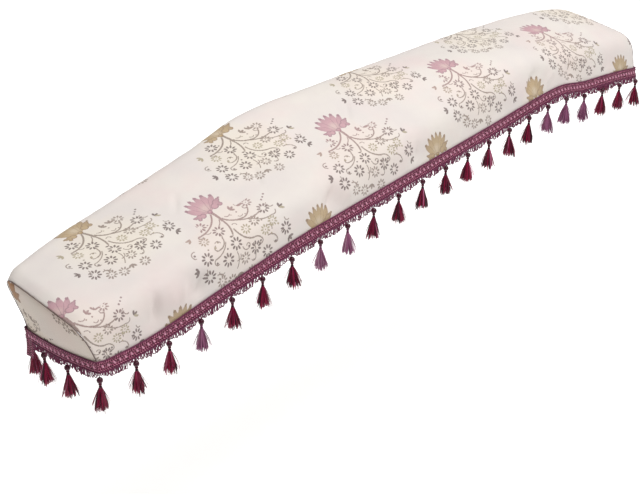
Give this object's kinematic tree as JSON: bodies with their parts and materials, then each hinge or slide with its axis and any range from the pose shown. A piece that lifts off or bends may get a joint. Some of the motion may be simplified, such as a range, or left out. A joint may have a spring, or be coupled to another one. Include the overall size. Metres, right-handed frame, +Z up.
{
  "type": "guzheng dust cover",
  "caption": "Fitted cloth cover for a long zither, hollow below, with sewn end panels, a braided hem, looped fringe and beaded tassels.",
  "frame": {"origin": "on the underside of the top, over the middle of the hollow, where what the cover is put over holds it up", "axes": "+X along the cover from its near, tail end to its far end, +Y to the back, +Z up"},
  "size_m": [1.6787, 0.3333, 0.2698],
  "materials": {
    "jacquard": "soft satin floral jacquard",
    "braid": "woven gimp with raised cords",
    "loops": "twisted thread loops",
    "tassel": "silky thread with a glossy bead"
  },
  "bodies": {
    "root": {"cover_panel": "jacquard", "end_panel_near": "jacquard", "end_panel_far": "jacquard", "hem_braid": "braid", "loop_fringe": "loops", "tassel_front_00": "tassel", "tassel_front_01": "tassel", "tassel_front_02": "tassel", "tassel_front_03": "tassel", "tassel_front_04": "tassel", "tassel_front_05": "tassel", "tassel_front_06": "tassel", "tassel_front_07": "tassel", "tassel_front_08": "tassel", "tassel_front_09": "tassel", "tassel_front_10": "tassel", "tassel_front_11": "tassel", "tassel_front_12": "tassel", "tassel_front_13": "tassel", "tassel_front_14": "tassel", "tassel_front_15": "tassel", "tassel_front_16": "tassel", "tassel_front_17": "tassel", "tassel_front_18": "tassel", "tassel_front_19": "tassel", "tassel_front_20": "tassel", "tassel_front_21": "tassel", "tassel_front_22": "tassel", "tassel_far_01": "tassel", "tassel_far_02": "tassel", "tassel_back_00": "tassel", "tassel_back_01": "tassel", "tassel_back_02": "tassel", "tassel_back_03": "tassel", "tassel_back_04": "tassel", "tassel_back_05": "tassel", "tassel_back_06": "tassel", "tassel_back_07": "tassel", "tassel_back_08": "tassel", "tassel_back_09": "tassel", "tassel_back_10": "tassel", "tassel_back_11": "tassel", "tassel_back_12": "tassel", "tassel_back_13": "tassel", "tassel_back_14": "tassel", "tassel_back_15": "tassel", "tassel_back_16": "tassel", "tassel_back_17": "tassel", "tassel_back_18": "tassel", "tassel_back_19": "tassel", "tassel_back_20": "tassel", "tassel_back_21": "tassel", "tassel_back_22": "tassel", "tassel_near_01": "tassel", "tassel_near_02": "tassel"}
  },
  "joints": []
}
